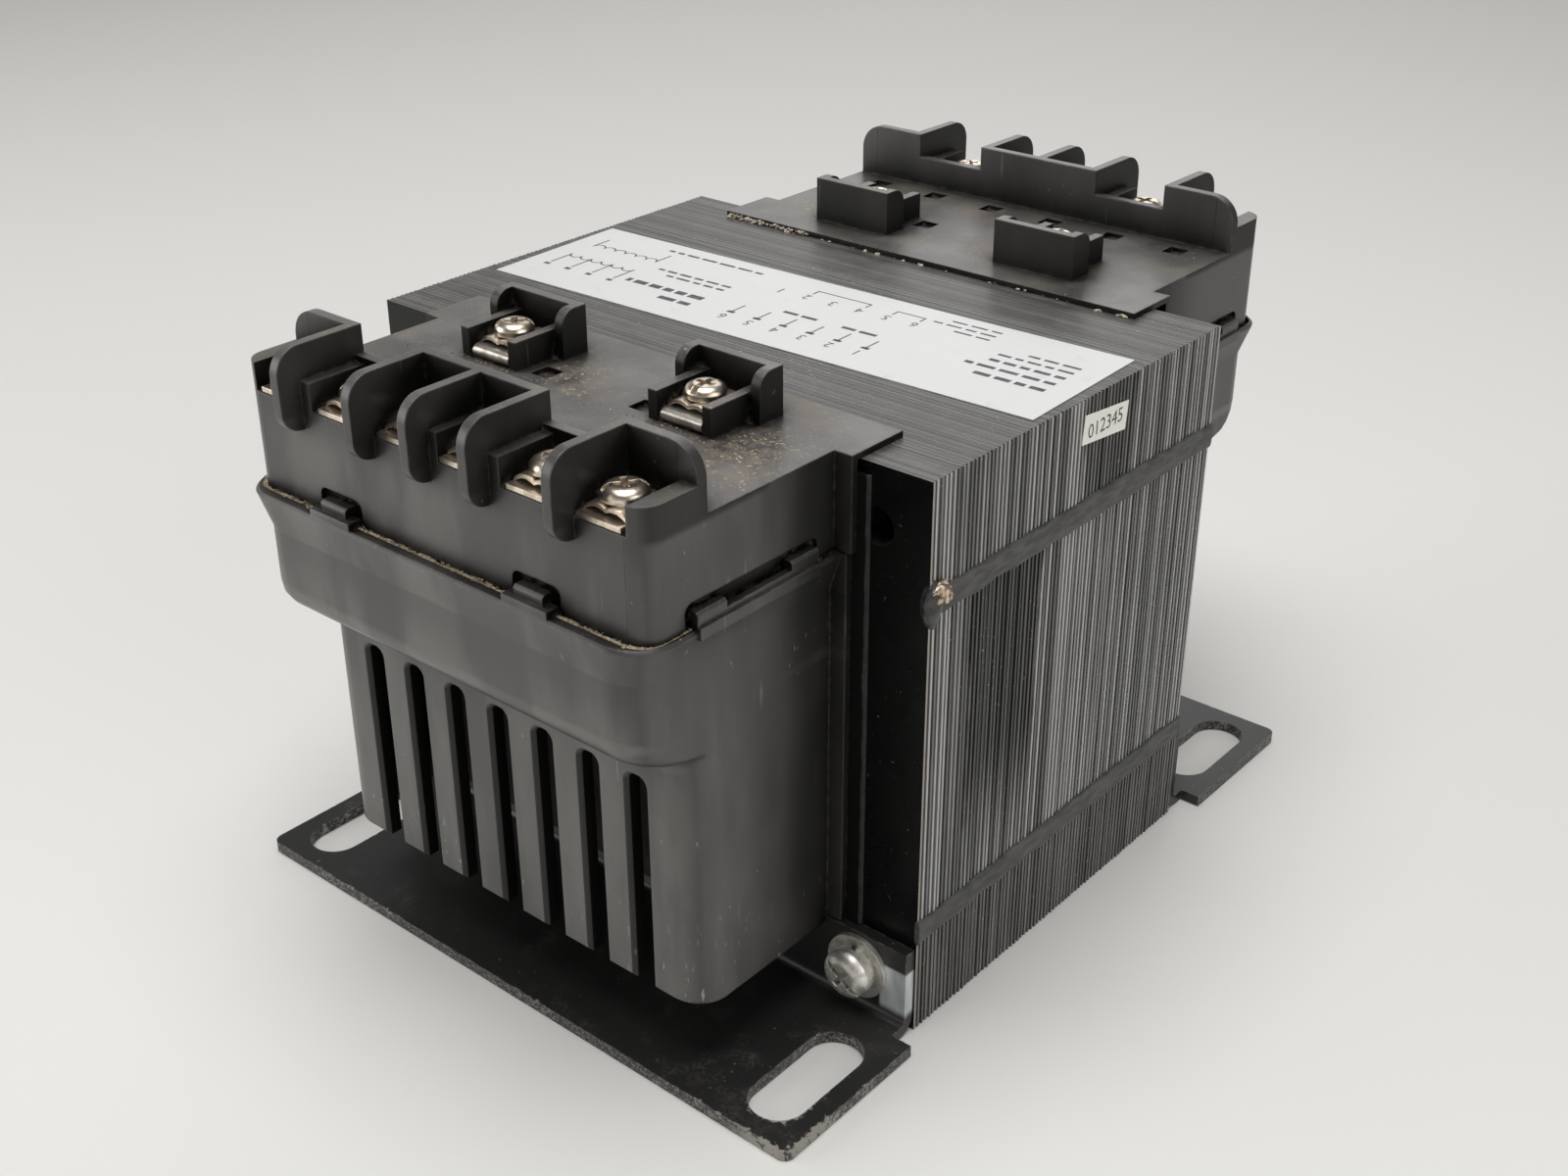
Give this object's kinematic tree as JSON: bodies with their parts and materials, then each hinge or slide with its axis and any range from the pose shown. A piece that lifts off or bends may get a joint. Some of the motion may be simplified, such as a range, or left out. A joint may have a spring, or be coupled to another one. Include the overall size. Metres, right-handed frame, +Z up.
{
  "type": "control transformer",
  "caption": "Open-frame control transformer: welded lamination core, vented moulded end covers with screw terminal blocks on top, slotted steel feet.",
  "frame": {"origin": "on the mounting surface, under the middle of the core", "axes": "+Z up from the mounting surface, +Y along the lamination stack towards the rear terminal block, +X across the laminations to the right, seen from the front block"},
  "size_m": [0.1412, 0.1978, 0.1237],
  "materials": {
    "core_steel": "varnished lamination edges",
    "weld_steel": "varnished weld bead",
    "moulded_plastic": "moulded, semi-gloss",
    "liner_sheet": "varnished insulation sheet",
    "bobbin_nylon": "moulded",
    "enamelled_copper": "enamelled wire",
    "insulation_film": "varnished film",
    "lead_sleeve": "sleeved wire",
    "nickel_plate": "nickel-plated, warm",
    "tinned_strip": "tinned, satin",
    "zinc_plate": "dull zinc-plated",
    "foot_paint": "black paint, chipped edges",
    "label_film": "white label film"
  },
  "bodies": {
    "root": {"core_e_stack": "core_steel", "core_i_stack": "core_steel", "upper_weld_beads": "weld_steel", "lower_weld_beads": "weld_steel", "coil_bobbin": "bobbin_nylon", "primary_winding": "enamelled_copper", "interwinding_insulation": "insulation_film", "secondary_winding": "enamelled_copper", "coil_outer_wrap": "insulation_film", "core_bolts": "zinc_plate", "flat_washers": "zinc_plate", "spring_washers": "zinc_plate", "core_bolt_nuts": "zinc_plate", "rating_label": "label_film", "side_label": "label_film", "front_core_liner": "liner_sheet", "front_coil_cover": "moulded_plastic", "front_terminal_block": "moulded_plastic", "front_terminal_plates": "nickel_plate", "front_saddle_clamps": "nickel_plate", "front_terminal_screws": "nickel_plate", "front_holder_terminals": "tinned_strip", "front_holder_saddles": "nickel_plate", "front_holder_screws": "nickel_plate", "front_lead_wires": "lead_sleeve", "front_foot": "foot_paint", "rear_core_liner": "liner_sheet", "rear_coil_cover": "moulded_plastic", "rear_terminal_block": "moulded_plastic", "rear_terminal_plates": "nickel_plate", "rear_saddle_clamps": "nickel_plate", "rear_terminal_screws": "nickel_plate", "rear_holder_terminals": "tinned_strip", "rear_holder_saddles": "nickel_plate", "rear_holder_screws": "nickel_plate", "rear_lead_wires": "lead_sleeve", "rear_foot": "foot_paint"}
  },
  "joints": []
}
